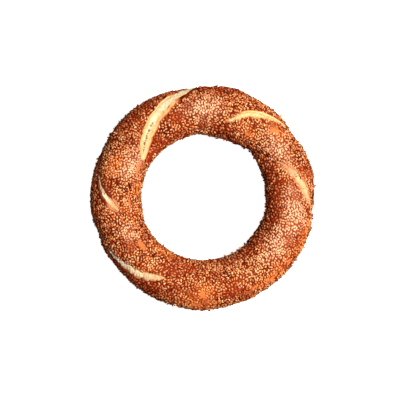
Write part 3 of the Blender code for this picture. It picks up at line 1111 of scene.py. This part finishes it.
def seed_frames():
    """Middle and three axes of every seed. The skin's own slope comes from two nearby points, and the
    seed lies along it, turned, a little tilted and partly sunk."""
    near = 1e-3
    here = crust_surface(seed_ring_angle, seed_rope_angle, open_tears=False)[0]
    along = crust_surface(seed_ring_angle + near, seed_rope_angle, open_tears=False)[0] - here
    around = crust_surface(seed_ring_angle, seed_rope_angle + near, open_tears=False)[0] - here
    normal = np.cross(along, around)
    normal *= np.sign((normal * rope_normals(seed_ring_angle, seed_rope_angle)).sum(-1, keepdims=True))
    normal /= np.linalg.norm(normal, axis=-1, keepdims=True)
    along /= np.linalg.norm(along, axis=-1, keepdims=True)
    across = np.cross(normal, along)
    turn = plane_turn(here, along, across) + random.normal(0.0, TURN_SPREAD, SEED_COUNT)
    turn = (turn + np.pi * random.integers(0, 2, SEED_COUNT))[:, None]
    forward = along * np.cos(turn) + across * np.sin(turn)
    proud = random.uniform(0.0, 1.0, SEED_COUNT) < PROUD_SHARE
    tilt = random.normal(0.0, 1.0, (SEED_COUNT, 2)) * np.where(proud, SEED_TILT[1], SEED_TILT[0])[:, None]
    forward = forward + normal * tilt[:, :1]
    forward /= np.linalg.norm(forward, axis=-1, keepdims=True)
    side = np.cross(normal, forward) + normal * tilt[:, 1:]
    side -= forward * (side * forward).sum(-1, keepdims=True)
    side /= np.linalg.norm(side, axis=-1, keepdims=True)
    up = np.cross(forward, side)
    lift = random.normal(*SEED_LIFT, SEED_COUNT) + PROUD_LIFT * proud
    lift -= 0.0002 * place_map("syrupy", seed_ring_angle, seed_rope_angle)
    return here + normal * lift[:, None] + shift, forward, side, up


def place_seeds():
    """Points of every seed as one array: seeds, points of a seed, axes. None reaches below the base."""
    middle, forward, side, up = seed_frames()
    length = random.normal(*SEED_LENGTH, SEED_COUNT)
    plump = random.normal(1.0, 0.08, SEED_COUNT)
    size = np.stack([length, length * plump, length * plump], axis=-1)
    scaled = seed_points[None] * size[:, None, :]
    axes = np.stack([forward, side, up], axis=1)
    points = middle[:, None, :] + np.einsum("spk,ska->spa", scaled, axes)
    points[..., 2] = np.maximum(points[..., 2], ring_low[2])
    return points


all_seeds = place_seeds()

# %% Seed finish
SEED_KINDS = {
    # name: (share of the seeds, darker end, lighter end)
    "pale_sesame": (0.29, paint(228, 158, 106), paint(242, 184, 134)),
    "golden_sesame": (0.32, paint(222, 140, 84), paint(236, 160, 106)),
    "toasted_sesame": (0.29, paint(206, 112, 58), paint(226, 138, 80)),
    "dark_sesame": (0.10, paint(134, 50, 18), paint(184, 88, 42)),
}
SYRUP_AND_SHADE_FOOT = paint(112, 36, 9)          # where syrup has pooled round a seed, with painted shade on its lower half and sides
SYRUPY_SEED = paint(148, 54, 20)
AMBER_SEED = paint(228, 130, 60)
# painted shade, with some real toasting, on the flanks turned from the lamp
TOASTED_AND_SHADED_SEED = paint(120, 38, 10)
# a painted highlight: the lamps' sheen on the crest
PAINTED_SHEEN_SEED = paint(240, 196, 158)


def seed_finish(name, darker, lighter):
    """Toasted seed under a thin film of syrup. Its tone differs from seed to seed, its tip is darker, its
    foot is brown with syrup and painted shade, and the maps of the baking, with their painted shade and
    painted highlight, tint it as they tint the crust."""
    material, tree, shader, coordinates = new_finish(
        name + "_finish", Roughness=0.26, Specular_IOR_Level=0.45, Specular_Tint=SEED_TINT
    )
    speckle = math(tree, "MULTIPLY", noise(tree, coordinates, 0.001), 0.3)
    tone = math(tree, "SUBTRACT", math(tree, "ADD", attribute(tree, "tone"), speckle), 0.15)
    colour = blend(tree, tone, darker, lighter)
    colour = blend(tree, spread(tree, attribute(tree, "along"), 0.80, 1.05), colour, darker)
    # the lower half of each seed is darker: syrup, and painted shade where the seed meets the crust
    crown = spread(tree, attribute(tree, "crown"), 0.10, 0.85)
    colour = blend(tree, crown, SYRUP_AND_SHADE_FOOT, colour)
    # the map of the dark flanks lays painted shade over some real toasting, and the map of the pale crest patches
    # lays a painted highlight
    layers = (
        ("amber", AMBER_SEED, 0.50),
        ("painted_sheen", PAINTED_SHEEN_SEED, 0.55),
        ("syrupy", SYRUPY_SEED, 0.65),
        ("toasted_and_shaded", TOASTED_AND_SHADED_SEED, 0.55),
    )
    for place_kind, place_colour, strength in layers:
        share = math(tree, "MULTIPLY", attribute(tree, place_kind), strength)
        colour = blend(tree, share, colour, place_colour)
    tree.links.new(colour, shader.inputs["Base Color"])
    return material


# %% Seed pieces
CELL_COLUMNS = 48               # cells of the flat layout, one for each seed
CELL_FILL = 0.80


def flat_cells(flat, count):
    """A seed's flat corners, shrunk into one cell for each seed: cells fill a table row by row."""
    cell_rows = -(-count // CELL_COLUMNS)
    number = np.arange(count)
    corner = np.stack([number % CELL_COLUMNS, number // CELL_COLUMNS], axis=-1)
    inside = (1.0 - CELL_FILL) / 2.0 + CELL_FILL * flat
    return (corner[:, None, None, :] + inside[None]) / (CELL_COLUMNS, cell_rows)


kind_draw = random.uniform(0.0, 1.0, SEED_COUNT)
seed_numbers = {"tone": random.uniform(0.0, 1.0, SEED_COUNT)}
for place_kind in ("amber", "painted_sheen", "syrupy", "toasted_and_shaded"):
    seed_numbers[place_kind] = place_map(place_kind, seed_ring_angle, seed_rope_angle)
drifts = layered_noise(smooth_rope(seed_ring_angle, seed_rope_angle), 0.011, 71, layers=2)
seed_numbers["syrupy"] = np.maximum(seed_numbers["syrupy"], smooth_step(0.10, 0.75, drifts))

kind_limit = 0.0
for kind, (kind_share, darker, lighter) in SEED_KINDS.items():
    chosen = (kind_draw >= kind_limit) & (kind_draw < kind_limit + kind_share)
    kind_limit += kind_share
    count, corners = int(chosen.sum()), len(seed_points)
    starts = (np.arange(count) * corners)[:, None, None]
    numbers = {name: np.repeat(values[chosen], corners) for name, values in seed_numbers.items()}
    sesame = mesh_piece(
        kind,
        all_seeds[chosen],
        [(seed_quads + starts).reshape(-1, 4), (seed_triangles + starts).reshape(-1, 3)],
        [flat_cells(seed_quads_flat, count), flat_cells(seed_triangles_flat, count)],
        {
            **numbers,
            "along": np.tile(seed_points[:, 0] + 0.5, count),
            "crown": np.tile(seed_points[:, 2] / SEED_HALF_HEIGHT, count),
        },
    )
    sesame.data.materials.append(seed_finish(kind, darker, lighter))
    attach(sesame, "root")
    print(kind, count, "seeds,", count * (2 * len(seed_quads) + len(seed_triangles)), "triangles")
